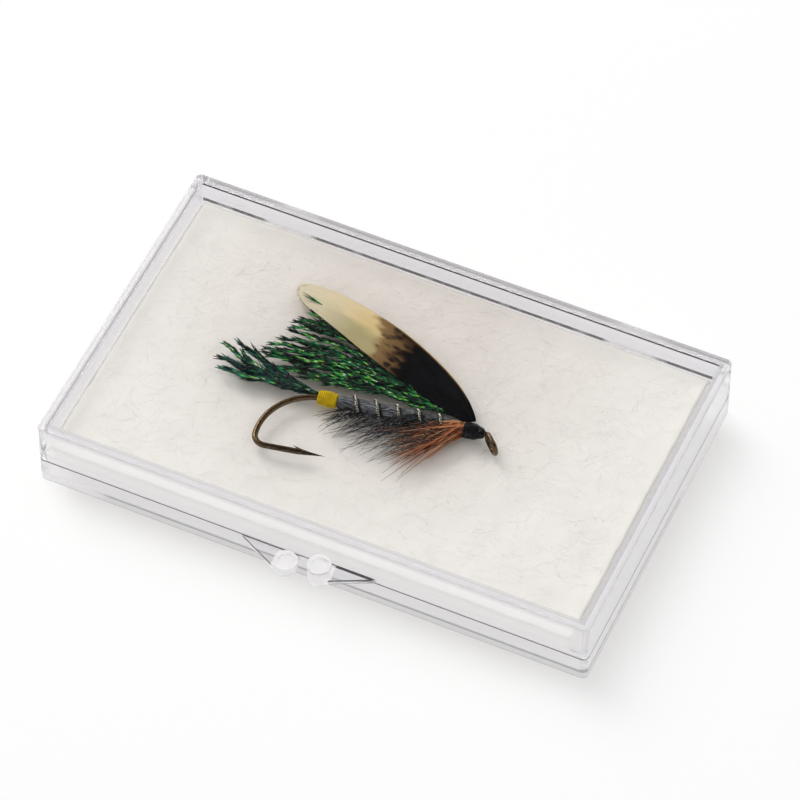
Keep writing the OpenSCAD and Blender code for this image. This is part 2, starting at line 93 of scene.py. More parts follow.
def length_of(name, description, value):
    return number_of(name, description, value, unit="LENGTH", min=0)


def count_of(name, description, value, least=1):
    return IntProperty(name=name, description=description, default=value, min=least)


# ---------------------------------------------------------------- settings


class FLYBOX_PG_stage(bpy.types.PropertyGroup):
    """Camera, floor and light"""
    azimuth: number_of("Azimuth", "Turn of the camera to the right of the front", radians(24.62), subtype="ANGLE")
    elevation: number_of("Elevation", "Height of the camera above the floor", radians(51.81), subtype="ANGLE")
    distance: length_of("Distance", "From the camera to the point that it looks at", 0.8305)
    look_at: FloatVectorProperty(name="Look At", description="Point that the camera looks at",
                                 default=(-0.001739, 0.008939, 0), subtype="TRANSLATION", unit="LENGTH")
    lens: number_of("Lens", "Focal length in mm on a 36 mm sensor", 233.64)
    floor: colour_of("Floor", "Colour of the floor", (253, 253, 253))
    sky: number_of("Sky", "Strength of the surrounding light", 0.685, min=0)
    key: number_of("Key", "Power of the large lamp", 38.0, unit="POWER", min=0)


class FLYBOX_PG_box(bpy.types.PropertyGroup):
    """Clear plastic and wadding"""
    plastic: colour_of("Plastic", "Tint of the clear plastic", (253, 253, 255))
    wadding: colour_of("Wadding", "Colour of the pad", (255, 251, 243))
    fibres: count_of("Fibres", "Loose fibres on the pad", 1500, least=0)
    fibre: length_of("Fibre", "Radius of a loose fibre", 0.000012)
    loft: length_of("Loft", "Height of the pad's soft unevenness", 0.00022)


class FLYBOX_PG_fly(bpy.types.PropertyGroup):
    """Hook and dressing"""
    bronze: colour_of("Bronze", "Colour of the hook", (98, 74, 40))
    tag: colour_of("Tag", "Colour of the tag's floss", (242, 208, 4))
    body: colour_of("Body", "Colour of the body's floss", (140, 142, 144))
    tinsel: colour_of("Tinsel", "Colour of the rib", (214, 208, 186))
    hackle: colour_of("Hackle", "Colour of the body hackle", (30, 30, 32))
    throat: colour_of("Throat", "Colour of the throat hackle", (200, 116, 66))
    head: colour_of("Head", "Colour of the head", (8, 8, 10))
    body_fibres: count_of("Body Fibres", "Fibres of the body hackle", 98)
    throat_fibres: count_of("Throat Fibres", "Fibres of the throat hackle", 160)
    tail_strands: count_of("Tail Strands", "Strands of the tail", 11, least=2)
    herl_strands: count_of("Underwing Strands", "Strands of the underwing", 33, least=2)


# ---------------------------------------------------------------- shaders


class Nodes:
    """A node tree. A value goes on a socket, and a socket is linked to it."""

    def __init__(self, tree):
        self.tree = tree

    def feed(self, node, inputs):
        for key, value in inputs.items():
            if isinstance(value, bpy.types.NodeSocket):
                self.tree.links.new(value, node.inputs[key])
            else:
                node.inputs[key].default_value = value
        return node

    def put(self, kind, inputs=None, output=0, **settings):
        node = self.tree.nodes.new("ShaderNode" + kind)
        for key, value in settings.items():
            setattr(node, key, value)
        return self.feed(node, inputs or {}).outputs[output]

    def maths(self, operation, first, second=0.0):
        return self.put("Math", {0: first, 1: second}, operation=operation)

    def plus(self, first, second):
        return self.maths("ADD", first, second)

    def minus(self, first, second):
        return self.maths("SUBTRACT", first, second)

    def times(self, first, second):
        return self.maths("MULTIPLY", first, second)

    def most(self, first, *others):
        for other in others:
            first = self.maths("MAXIMUM", first, other)
        return first

    def mix(self, factor, first, second, blend="MIX"):
        """From the first colour to the second. A plain colour is three numbers."""
        first, second = (c if isinstance(c, bpy.types.NodeSocket) else (*c, 1) for c in (first, second))
        return self.put("Mix", {0: factor, 6: first, 7: second}, output=2, data_type="RGBA", blend_type=blend)

    def ramp(self, factor, stops):
        node = self.tree.nodes.new("ShaderNodeValToRGB")
        marks = node.color_ramp.elements
        for mark, (place, rgb) in zip([marks[0], marks[1]] + [marks.new(0.5) for _ in stops[2:]], stops):
            mark.position = place
            mark.color = (*rgb, 1)
        self.tree.links.new(factor, node.inputs["Fac"])
        return node.outputs["Color"]

    def level(self, value, low, high, to_low=0.0, to_high=1.0):
        return self.put("MapRange", {"Value": value, "From Min": low, "From Max": high,
                                     "To Min": to_low, "To Max": to_high})

    def stir(self, value, noise, by):
        """The value with a noise added or taken away, by so much at most."""
        return self.plus(value, self.level(noise, 0.3, 0.7, -by, by))

    def split(self, vector):
        """The three numbers of a vector."""
        return self.tree.links.new(vector, self.tree.nodes.new("ShaderNodeSeparateXYZ").inputs[0]).to_node.outputs


class Shader(Nodes):
    """A new material's node tree."""

    def __init__(self, name):
        self.material = bpy.data.materials.new(name)
        self.material.use_nodes = True
        super().__init__(self.material.node_tree)
        self.surface = self.tree.nodes["Principled BSDF"]
        self.output = self.tree.nodes["Material Output"]

    def place(self, scale=(1, 1, 1), turn=0.0, shift=(0, 0, 0)):
        """Object coordinates in mm, scaled, turned about Z and shifted."""
        coordinates = self.put("TexCoord", output=3)
        return self.put("Mapping", {"Vector": coordinates, "Scale": [s / MM for s in scale],
                                    "Rotation": (0, 0, turn), "Location": shift})

    def near(self, value, middle, reach):
        """One within reach of the middle, and nothing a little way beyond."""
        return self.level(self.maths("ABSOLUTE", self.minus(value, middle)), reach * 0.7, reach, 1.0, 0.0)

    def attribute(self, name):
        return self.put("Attribute", output=2, attribute_name=name)

    def noise(self, vector, scale, detail=2.0, roughness=0.5):
        return self.put("TexNoise", {"Vector": vector, "Scale": scale, "Detail": detail, "Roughness": roughness})

    def bump(self, height, strength, distance):
        return self.put("Bump", {"Height": height, "Strength": strength, "Distance": distance})

    def finish(self, inputs):
        self.feed(self.surface, inputs)
        return self.material


def clear_plastic(tint):
    """Polished moulded polystyrene: milky in its walls, frosted on its knobs, with painted dark lines along its rims
    and painted shade on its edges.
    """
    look = Shader("clear_plastic")
    place = look.place()
    x, y, z = look.split(place)
    wide = look.maths("ABSOLUTE", x)
    depth = look.maths("MINIMUM", look.minus(BOX_HALF[0], wide), look.minus(BOX_HALF[1], look.maths("ABSOLUTE", y)))
    facing_up = look.maths("ABSOLUTE", look.split(look.put("TexCoord", output=1))[2])
    front, back_inside = -BOX_HALF[1], BOX_HALF[1] - WALL

    # Where the plastic is
    upright = look.level(facing_up, 0.3, 0.7, 1.0, 0.0)
    skin = look.level(depth, 0.3, 0.4, 1.0, 0.0)
    tab = look.level(y, front - 0.1, front - 0.25)
    knob = look.times(tab, look.level(wide, KNOB_OUT - 0.2, KNOB_OUT, 1.0, 0.0))
    brow = look.times(look.level(depth, WALL - 0.15, WALL, 1.0, 0.0), look.level(z, BOX_TOP - 0.2, BOX_TOP - 0.1))
    behind = look.level(y, back_inside - 0.05, back_inside + 0.05)
    inner = look.times(look.near(depth, WALL + 0.1, 0.45), look.level(z, BOX_TOP - 1.8, BOX_TOP - 1.6, 0.0, 0.5))

    # Painted dark lines, where the real plastic bends the light away, and the painted shadow of the gap behind the
    # pad on the inner back wall, broken into dashes and faded at the hinges
    web = look.times(look.minus(tab, knob), upright)
    web = look.times(web, look.most(look.near(z, RIM_UP - 0.15, 0.3), look.near(z, RIM_UP + 0.9, 0.3)))
    seam = look.times(look.minus(skin, tab), look.near(z, RIM_UP, 0.11))
    foot = look.times(skin, look.level(z, 0.15, 0.45, 0.5, 0.0))
    cove = look.times(look.near(y, back_inside - 0.15, 0.24), look.near(z, BOX_TOP - WALL, 0.3))
    patchy = look.level(look.noise(look.place((0.3, 0.0, 0.0)), 1.0, 3.0), 0.32, 0.5, 0.6, 1.0)
    patchy = look.times(patchy, look.level(look.near(wide, HINGE_OUT, 5.0), 0.0, 1.0, 1.0, 0.1))
    painted_gap_shadow = look.times(look.near(y, back_inside, 0.1), look.near(z, GAP_SHADOW_UP, 0.42))
    dark = look.most(seam, foot, web, look.times(cove, 1.2), look.times(painted_gap_shadow, patchy))

    # Milky plastic, in shares of the clear
    wall = look.times(upright, look.level(z, RIM_UP - 0.05, RIM_UP + 0.05, 0.5, 0.3))
    base_edge = look.times(skin, look.level(z, 1.5, 1.9, 0.88, 0.0))
    haze = look.most(wall, base_edge, inner, look.times(brow, 0.5), look.times(knob, 0.55))
    # Painted shade: the milk is greyer along the top edge, most at the back, and on the inner walls near the top
    greyed = look.most(look.times(brow, look.level(behind, 0.0, 1.0, 0.1, 1.0)), look.times(inner, 1.6))

    scuff = look.level(look.noise(place, 0.5, 5.0, 0.7), 0.55, 0.8, 0.0, 0.05)
    ripple = look.bump(look.noise(place, 0.09, 1.0), 0.015, 0.00008)
    look.finish({"Base Color": (*tint, 1), "Roughness": scuff, "IOR": 1.59, "Transmission Weight": 1.0,
                 "Normal": ripple})
    milk = look.put("BsdfDiffuse", {"Color": look.mix(greyed, seen(252, 250, 252), seen(196, 194, 198))})
    line = look.put("BsdfDiffuse", {"Color": (*seen(48, 44, 46), 1)})
    body = look.put("MixShader", {0: haze, 1: look.surface.outputs[0], 2: milk})
    body = look.put("MixShader", {0: look.times(dark, 0.8), 1: body, 2: line})

    # Soft light passes the plastic, and its shadow is thin
    path = look.tree.nodes.new("ShaderNodeLightPath")
    open_way = look.put("BsdfTransparent", {"Color": (1, 1, 1, 1)})
    shaded = look.mix(upright, (0.985, 0.985, 0.985), (0.84, 0.84, 0.845))
    shaded_way = look.put("BsdfTransparent", {"Color": shaded})
    lit = look.put("MixShader", {0: path.outputs["Is Diffuse Ray"], 1: body, 2: open_way})
    both = look.put("MixShader", {0: path.outputs["Is Shadow Ray"], 1: lit, 2: shaded_way})
    look.tree.links.new(both, look.output.inputs["Surface"])
    return look.material


def wadding(tint):
    """Soft white polyester wadding with faint swirls, and painted shade round the fly and behind it."""
    look = Shader("wadding")
    place = look.place()
    (mid_x, mid_y), (reach_x, reach_y) = PAINTED_SHADE_AT, PAINTED_SHADE_REACH
    from_painted_shade = look.place((1 / reach_x, 1 / reach_y, 0), shift=(-mid_x / reach_x, -mid_y / reach_y, 0))
    away = look.put("VectorMath", {0: from_painted_shade}, output=1, operation="LENGTH")
    swirl = look.put("TexNoise", {"Vector": place, "Scale": 0.25, "Detail": 3.0}, output=1)
    bend = look.put("VectorMath", {0: swirl, 1: (3, 3, 3), 2: place}, operation="MULTIPLY_ADD")
    cloud = look.noise(place, 0.22, 5.0, 0.62)
    fluff = look.noise(bend, 2.6, 5.0, 0.7)
    shade = look.mix(look.level(cloud, 0.35, 0.7), deeper(tint, 0.955), tint)
    shade = look.mix(look.level(fluff, 0.35, 0.62, 0.25, 0.0), shade, deeper(tint, 0.92))
    # Painted shade, darkest near its middle and gone beyond its reach
    shade = look.mix(look.level(away, 0.3, 1.1, 1.0, 0.0), shade, (0.85, 0.82, 0.80), "MULTIPLY")
    height = look.plus(look.times(fluff, 0.4), look.noise(place, 7.0, 3.0))
    return look.finish({"Base Color": shade, "Roughness": 0.95, "Specular IOR Level": 0.15, "Sheen Weight": 0.25,
                        "Sheen Roughness": 0.6, "Normal": look.bump(height, 0.3, 0.0001)})


def fibre_white(tint):
    """Single fibres of the wadding."""
    look = Shader("wadding_fibre")
    shade = look.ramp(look.attribute("tone"), [(0.0, deeper(tint, 0.96)), (1.0, (1, 1, 1))])
    return look.finish({"Base Color": shade, "Roughness": 0.6, "Specular IOR Level": 0.4})


def bronzed_wire(tint):
    """Bronzed steel with a lacquer, darker from the bend on to the point."""
    look = Shader("bronzed_wire")
    drawn = look.noise(look.place(), 3.0, 4.0, 0.6)
    shade = look.mix(look.level(look.attribute("along"), 0.62, 0.8), tint, deeper(tint, 0.42))
    shade = look.mix(look.level(drawn, 0.4, 0.75, 0.0, 0.55), shade, deeper(tint, 0.5))
    return look.finish({"Base Color": shade, "Metallic": 0.85, "Roughness": look.level(drawn, 0.3, 0.7, 0.2, 0.38),
                        "Coat Weight": 0.5, "Coat Roughness": 0.12, "Normal": look.bump(drawn, 0.15, 0.00003)})


def floss(name, tint, dark, across):
    """Wound floss: fine threads that lie side by side, with darker strands between them, and painted shade in the
    grooves of the winding.
    """
    look = Shader(name)
    fray = look.noise(look.place((0.15, 1, 1), -FLY_TURN), 4.0, 3.0)
    shade = look.mix(look.level(look.attribute("tone"), 0.2, 0.75), dark, tint)
    shade = look.mix(look.level(fray, 0.38, 0.62, 0.0, across), shade, dark)
    return look.finish({"Base Color": shade, "Roughness": 0.42, "Specular IOR Level": 0.12, "Sheen Weight": 0.04,
                        "Sheen Roughness": 0.35, "Normal": look.bump(fray, 0.3, 0.00004)})


def silver_tinsel(tint):
    """Oval tinsel: flat metal wound on a thread core."""
    look = Shader("silver_tinsel")
    shade = look.mix(look.level(look.attribute("tone"), 0.2, 0.5), seen(52, 50, 46), tint)
    return look.finish({"Base Color": shade, "Metallic": 0.8, "Roughness": 0.3})


def peacock(name, stops):
    """Iridescent herl, whose tone runs from a black quill to lime green flue."""
    look = Shader(name)
    grained = look.stir(look.attribute("tone"), look.noise(look.place(), 2.2, 2.0), 0.14)
    dulled = look.times(grained, look.level(look.attribute("along"), 0.35, 0.95, 1.0, 0.1))
    return look.finish({"Base Color": look.ramp(dulled, stops), "Roughness": 0.4, "Specular IOR Level": 0.25})


def hackle(name, stops):
    """Glossy hackle fibres, paler towards their tips."""
    look = Shader(name)
    tip = look.level(look.attribute("along"), 0.5, 1.0, 0.0, 0.12)
    shade = look.mix(tip, look.ramp(look.attribute("tone"), stops), seen(150, 146, 140))
    return look.finish({"Base Color": shade, "Roughness": 0.4, "Specular IOR Level": 0.3})


def wing_feather(name, dim):
    """Married strips: black near the head, then mottled brown, then cream towards the tip."""
    look = Shader(name)
    uv = look.put("UVMap", uv_map="strip")
    span, chord, _ = look.split(uv)

    def stretched(along, across):
        return look.put("Mapping", {"Vector": uv, "Scale": (along, across, 1)})

    # Painted shade: a colour dimmed by the strip's share of painted light
    def dimmed(*rgb):
        return deeper(seen(*rgb), dim)

    barbs = look.noise(stretched(7, 90), 1.0, 3.0)
    cloud = look.noise(stretched(9, 4), 1.0, 2.0)
    # How far out a spot is, along the slanted and ragged joins of the strips
    out = look.stir(look.stir(look.plus(look.times(chord, -0.15), span), cloud, 0.03), barbs, 0.012)

    aloft = look.stir(chord, cloud, 0.1)
    cream = look.mix(look.level(aloft, 0.34, 0.66), dimmed(180, 168, 122), dimmed(226, 200, 144))
    cream = look.mix(look.level(span, 0.72, 0.97, 0.0, 0.9), cream, seen(240, 229, 200))
    cream = look.mix(look.level(barbs, 0.42, 0.7, 0.0, 0.28), cream, seen(150, 132, 88))

    spots = look.put("TexVoronoi", {"Vector": stretched(24, 8.5), "Scale": 1.0, "Randomness": 1.0,
                                    "Smoothness": 0.35}, feature="SMOOTH_F1")
    blots = look.plus(look.stir(spots, cloud, 0.2), look.level(out, 0.38, 0.58, -0.3, 0.18))
    brown = look.mix(look.level(out, 0.4, 0.56), dimmed(90, 62, 36), seen(150, 120, 76))
    brown = look.mix(look.level(barbs, 0.4, 0.66, 0.0, 0.45), brown, seen(84, 56, 30))
    mottled = look.mix(look.level(blots, 0.12, 0.5, 0.95, 0.0), brown, seen(34, 22, 14))

    shade = look.mix(look.level(out, 0.545, 0.585), mottled, cream)
    shade = look.mix(look.level(out, 0.385, 0.445), dimmed(5, 5, 6), shade)
    streak = look.times(look.level(barbs, 0.5, 0.72, 0.0, 0.25), look.level(out, 0.37, 0.36))
    shade = look.mix(streak, shade, seen(58, 62, 74))
    rim = look.times(look.level(chord, 0.965, 0.99), look.level(span, 0.12, 0.3))
    rim = look.times(rim, look.level(span, 0.6, 0.72, 1.0, 0.0))
    shade = look.mix(rim, shade, seen(168, 134, 74))
    return look.finish({"Base Color": shade, "Roughness": look.level(out, 0.35, 0.45, 0.38, 0.6),
                        "Specular IOR Level": look.level(out, 0.4, 0.5, 0.02, 0.1),
                        "Normal": look.bump(barbs, 0.5, 0.00008)})


def black_thread(tint):
    """Tying thread under glossy varnish, with painted bluish highlights on its raised turns."""
    look = Shader("black_thread")
    glint = look.level(look.noise(look.place(), 1.7, 4.0, 0.7), 0.58, 0.66)
    shade = look.mix(look.times(glint, look.level(look.attribute("tone"), 0.5, 0.9)), tint, seen(120, 126, 144))
    return look.finish({"Base Color": shade, "Roughness": 0.3, "Specular IOR Level": 0.14})


# ---------------------------------------------------------------- meshes


def middle(node):
    low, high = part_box(node)
    return (low + high) / 2


def fly_matrix():
    """From the fly's own frame in mm, x along the shank to the eye and y to the wing, to the row frame."""
    along = middle("head_thread") - middle("tag_floss")
    turn = Matrix.Rotation(atan2(along.y, along.x), 4, "Z")
    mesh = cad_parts["body_floss"].data
    start = min((turn.inverted() @ v.co).x for v in mesh.vertices)
    centre = turn.inverted() @ middle("body_floss")
    origin = turn @ Vector((start - BODY_START * MM, centre.y, centre.z))
    return Matrix.Translation(origin) @ turn @ Matrix.Scale(MM, 4)


def fly_stations(node):
    """First and last station of a wound piece along the shank, in mm."""
    to_fly = fly_matrix().inverted()
    stations = [(to_fly @ v.co).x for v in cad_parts[node].data.vertices]
    return min(stations), max(stations)


def add(name, data):
    """A new object in the scene."""
    thing = bpy.data.objects.new(name, data)
    bpy.context.scene.collection.objects.link(thing)
    return thing


def add_mesh(bm, name, material):
    """A new object in the scene from a bmesh, which is used up."""
    mesh = bpy.data.meshes.new(name)
    bm.to_mesh(mesh)
    bm.free()
    mesh.materials.append(material)
    return add(name, mesh)


def make_piece(bm, name, material, node=None):
    """Turns a bmesh in the row frame into a finished piece, which may stand for a node."""
    bmesh.ops.recalc_face_normals(bm, faces=bm.faces)
    for face in bm.faces:
        face.smooth = True
    piece = add_mesh(bm, name, material)
    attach(piece, "base")
    if node:
        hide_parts(node)
    return piece


def dress(bm, name, material, node):
    """Turns a bmesh in the fly's own frame into a finished piece of the fly."""
    bm.transform(fly_matrix())
    return make_piece(bm, name, material, node)


class Strand:
    """A tapered strand through points, with a radius at each point."""

    def __init__(self, points, radii, tone=0.5, flat=1.0, ups=None, tones=None):
        self.points, self.radii, self.tone, self.flat = points, radii, tone, flat
        self.ups = ups or [UP] * len(points)
        self.tones = tones

    def rings(self, sides):
        found = []
        last = len(self.points) - 1
        for i, point in enumerate(self.points):
            ahead = (self.points[min(i + 1, last)] - self.points[max(i - 1, 0)]).normalized()
            side = ahead.cross(self.ups[i])
            if side.length < 0.05:
                side = ahead.cross(Vector((0, 1, 0)))
            side.normalize()
            top = side.cross(ahead)
            turns = [2 * pi * (k + 0.5) / sides for k in range(sides)]
            found.append([point + self.radii[i] * (side * cos(t) + top * sin(t) * self.flat)
                          for t in turns])
        return found


def extrude_rim(bm, edges):
    """Extrudes an open rim, and gives the new rim's edges and its points."""
    made = bmesh.ops.extrude_edge_only(bm, edges=edges)["geom"]
    return ([e for e in made if isinstance(e, bmesh.types.BMEdge) and e.is_boundary],
            [v for v in made if isinstance(v, bmesh.types.BMVert)])


def grow(bm, strands, sides):
    """Grows closed strands of equal ring count in a bmesh, with a tone and a share along each."""
    layers = bm.verts.layers
    place = layers.int.get("place") or layers.int.new("place")
    tone = layers.float.get("tone") or layers.float.new("tone")
    along = layers.float.get("along") or layers.float.new("along")
    rings = [strand.rings(sides) for strand in strands]
    last = len(rings[0]) - 1
    edges = []
    for i, strand in enumerate(strands):
        root = [bm.verts.new(point) for point in rings[i][0]]
        for k, vert in enumerate(root):
            vert[place] = i * sides + k
            vert[tone] = strand.tones[0] if strand.tones else strand.tone
        bm.faces.new(root)
        edges += [bm.edges.get((root[k - 1], root[k])) for k in range(sides)]
    for ring in range(1, last + 1):
        edges, verts = extrude_rim(bm, edges)
        for vert in verts:
            which, side = divmod(vert[place], sides)
            vert.co = rings[which][ring][side]
            vert[along] = ring / last
            if strands[which].tones:
                vert[tone] = strands[which].tones[ring]
    bmesh.ops.holes_fill(bm, edges=edges, sides=sides)


def grown(strands, sides):
    """A new bmesh with the strands in it."""
    bm = bmesh.new()
    grow(bm, strands, sides)
    return bm


def clamped(value):
    return min(1.0, max(0.0, value))


def curve(root, way, tip, count):
    """Points of a curved line from root past way to tip."""
    shares = [i / (count - 1) for i in range(count)]
    return [root * (1 - t) ** 2 + way * 2 * t * (1 - t) + tip * t * t for t in shares]


def taper(start, end, count, power=1.0):
    return [start + (end - start) * (i / (count - 1)) ** power for i in range(count)]


def spun(profile, threads, depth, pitch, seed, segments=48, lit=None):
    """A wound spindle about the shank: the profile is spun, then its threads are raised.

    lit(x, angle) gives the share of the tone that a place keeps."""
    bm = bmesh.new()
    tone = bm.verts.layers.float.new("tone")
    verts = [bm.verts.new((x, 0, r)) for x, r in profile]
    edges = [bm.edges.new(pair) for pair in zip(verts, verts[1:])]
    bmesh.ops.spin(bm, geom=verts + edges, cent=(0, 0, 0), axis=(1, 0, 0), angle=tau, steps=segments,
                   use_merge=True)
    bmesh.ops.remove_doubles(bm, verts=bm.verts, dist=0.0004)
    for vert in bm.verts:
        x, y, z = vert.co
        radius = hypot(y, z)
        if radius < 0.05:
            continue
        angle = atan2(z, y)
        sway = noise.noise(Vector((x * 0.5, cos(angle) * 1.5, sin(angle) * 1.5 + seed))) * 1.3
        ridge = 0.5 + 0.5 * cos(tau * (x / pitch + sway) + threads * angle)
        lump = noise.noise(Vector((x * 1.1, y * 1.3, z * 1.3 + seed)))
        raised = radius + depth * (ridge - 0.5) + depth * 1.2 * lump
        vert.co = Vector((x, y * raised / radius, z * raised / radius))
        share = lit(x, angle) if lit else 1.0
        # The tone is painted shade and light: low in the grooves between the raised threads, high on the raised lumps
        vert[tone] = clamped(ridge * 0.8 + 0.2 + 0.3 * lump) * share
    return bm


# ---------------------------------------------------------------- box


class FLYBOX_OT_stage(bpy.types.Operator):
    """Makes the camera, the floor, the surrounding light and the lamps"""
    bl_idname = "flybox.stage"
    bl_label = "Stage"

    KEY_PLACE = (-2.0, 1.2, 2.1)
    KEY_SIZE = 1.8
    FLOOR_HALF, FLOOR_GAP = 3.0, 0.00005
    SENSOR, CLIP_START = 36, 0.01
    BOUNCES = 24

    def execute(self, context):
        settings = context.scene.flybox_stage
        a, e = settings.azimuth, settings.elevation
        back = Vector((sin(a) * cos(e), -cos(a) * cos(e), sin(e)))
        camera = add("camera", bpy.data.cameras.new("camera"))
        camera.location = Vector(settings.look_at) + back * settings.distance
        camera.rotation_euler = back.to_track_quat("Z", "Y").to_euler()
        camera.data.lens = settings.lens
        camera.data.sensor_width = self.SENSOR
        camera.data.clip_start = self.CLIP_START
        context.scene.camera = camera
        context.scene.view_settings.view_transform = "Standard"
        cycles = context.scene.cycles
        cycles.max_bounces = cycles.transmission_bounces = self.BOUNCES
        cycles.glossy_bounces = cycles.transparent_max_bounces = self.BOUNCES

        bm = bmesh.new()
        bmesh.ops.create_grid(bm, x_segments=1, y_segments=1, size=self.FLOOR_HALF)
        matt = {"Base Color": (*settings.floor, 1), "Roughness": 0.9, "Specular IOR Level": 0.0}
        floor = add_mesh(bm, "floor", Shader("floor").finish(matt))
        floor.location.z = -self.FLOOR_GAP

        self.make_sky(context.scene, settings.sky)
        lamp = add("key", bpy.data.lights.new("key", "AREA"))
        lamp.location = self.KEY_PLACE
        lamp.rotation_euler = Vector(self.KEY_PLACE).to_track_quat("Z", "Y").to_euler()
        lamp.data.shape = "DISK"
        lamp.data.size = self.KEY_SIZE
        lamp.data.energy = settings.key
        return {"FINISHED"}

    @staticmethod
    def make_sky(scene, strength):
        """Soft light from above for matt surfaces. Gloss and glass see white walls under a dark ceiling."""
        world = scene.world = bpy.data.worlds.new("sky")
        world.use_nodes = True
        world.cycles.sampling_method = "NONE"
        look = Nodes(world.node_tree)
        height = look.split(look.put("TexCoord"))[2]
        path = look.tree.nodes.new("ShaderNodeLightPath").outputs

        def band(*stops):
            return look.ramp(height, [(place, (level,) * 3) for place, level in stops])

        mirrored = look.mix(look.maths("GREATER_THAN", path["Glossy Depth"], 1.5), band((0.5, 1.0), (0.68, 0.03)),
                            band((0.0, 0.8), (0.5, 1.0)))
        shiny = look.most(path["Is Glossy Ray"], path["Is Transmission Ray"], path["Is Camera Ray"])
        power = look.plus(look.times(look.minus(1.0, shiny), strength), shiny)
        colour = look.mix(shiny, band((0.0, 0.5), (0.6, 1.2)), mirrored)
        ground = look.put("Background", {"Color": colour, "Strength": power})
        look.tree.links.new(ground, look.tree.nodes["World Output"].inputs["Surface"])


class FLYBOX_OT_box(bpy.types.Operator):
    """Gives the base and the lid their clear plastic"""
    bl_idname = "flybox.box"
    bl_label = "Clear Box"

    def execute(self, context):
        plastic = clear_plastic(context.scene.flybox_box.plastic)
        for name in ("base", "lid"):
            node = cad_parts[name]
            node.data.materials.clear()
            node.data.materials.append(plastic)
        return {"FINISHED"}


class FLYBOX_OT_pad(bpy.types.Operator):
    """Makes the wadding pad and the loose fibres on it"""
    bl_idname = "flybox.pad"
    bl_label = "Wadding Pad"

    CELL = 0.0006
    CURL_BAND = 0.004
    CURL = 0.00055
    SOFT_EDGE = 0.0006
    # A point of the sides is this share of the pad's size or more from its middle
    SIDE = 0.485
    # Depth of each row of the sides as a share of the thickness, and how far it stands out in mm
    SIDE_ROWS = ((0.25, -0.25), (0.55, 0.1), (0.85, -0.1), (1.0, -0.5))
    FIBRE_RINGS = 7

    def height(self, x, y):
        """Height of the pad's top: curled up near the edges, rounded over at them, uneven all over."""
        near = min(x - self.low.x, self.high.x - x, y - self.low.y, self.high.y - y)
        curl = self.CURL * max(0.0, 1 - near / self.CURL_BAND) ** 2
        over = self.SOFT_EDGE - sqrt(max(0.0, self.SOFT_EDGE ** 2 - max(0.0, self.SOFT_EDGE - near) ** 2))
        spot = Vector((x, y, 0)) / MM
        rough = noise.fractal(spot * 0.16, 1.0, 2.0, 4) * 0.8 + noise.fractal(spot * 0.9, 1.0, 2.0, 3) * 0.35
        return self.top + curl - over + self.loft * (rough - 0.4)

    def execute(self, context):
        settings = context.scene.flybox_box
        self.low, self.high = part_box("pad")
        self.top, self.loft = self.high.z - self.CURL, settings.loft
        size, centre = self.high - self.low, (self.low + self.high) / 2
        cells_x, cells_y = (round(s / self.CELL) for s in (size.x, size.y))
        bm = bmesh.new()
        bmesh.ops.create_grid(bm, x_segments=cells_x, y_segments=cells_y, size=0.5)
        for vert in bm.verts:
            u, v = vert.co.x * 2, vert.co.y * 2
            ripple = 1 - 0.0045 * (1 + noise.noise(Vector((u * 9, v * 9, 3))))
            x = centre.x + u * size.x / 2 * (ripple if abs(u) > 0.97 else 1)
            y = centre.y + v * size.y / 2 * (ripple if abs(v) > 0.97 else 1)
            vert.co = (x, y, self.height(x, y))
        rim = [e for e in bm.edges if e.is_boundary]
        for depth, bulge in self.SIDE_ROWS:
            rim, verts = extrude_rim(bm, rim)
            for vert in verts:
                x, y = vert.co.x - centre.x, vert.co.y - centre.y
                out = Vector((copysign(1, x) if abs(x) > self.SIDE * size.x else 0,
                              copysign(1, y) if abs(y) > self.SIDE * size.y else 0, 0))
                puff = noise.noise(Vector((x, y, depth * 0.01)) * 400) * 0.12
                vert.co += out * (bulge + puff - 0.1) * MM
                vert.co.z = self.top + (self.low.z - self.top) * depth
        bmesh.ops.holes_fill(bm, edges=rim, sides=0)
        bmesh.ops.triangulate(bm, faces=[f for f in bm.faces if len(f.verts) > 4])
        pad = make_piece(bm, "wadding_pad", wadding(settings.wadding), "pad")
        self.strew(settings)
        return {"FINISHED"}

    def strew(self, settings):
        """Lays the loose fibres on the pad's top."""
        draw = random.Random(7)
        strands = []
        for _ in range(settings.fibres):
            x, y = (draw.uniform(low + 2 * MM, high - 2 * MM) for low, high in zip(self.low.xy, self.high.xy))
            heading, bend = draw.uniform(0, tau), draw.uniform(-1.4, 1.4)
            reach = draw.uniform(1.5, 6.0) * MM
            lift = draw.uniform(0.0, 0.25) * MM
            points = []
            for i in range(self.FIBRE_RINGS):
                t = i / (self.FIBRE_RINGS - 1)
                angle = heading + bend * t
                far = (x + cos(angle) * reach * t, y + sin(angle) * reach * t)
                px, py = (min(max(p, low + MM), high - MM) for p, low, high in zip(far, self.low, self.high))
                points.append(Vector((px, py, self.height(px, py) + lift * sin(pi * t))))
            strands.append(Strand(points, [settings.fibre] * self.FIBRE_RINGS, draw.random()))
        make_piece(grown(strands, 3), "wadding_fibres", fibre_white(settings.wadding))


# ---------------------------------------------------------------- hook


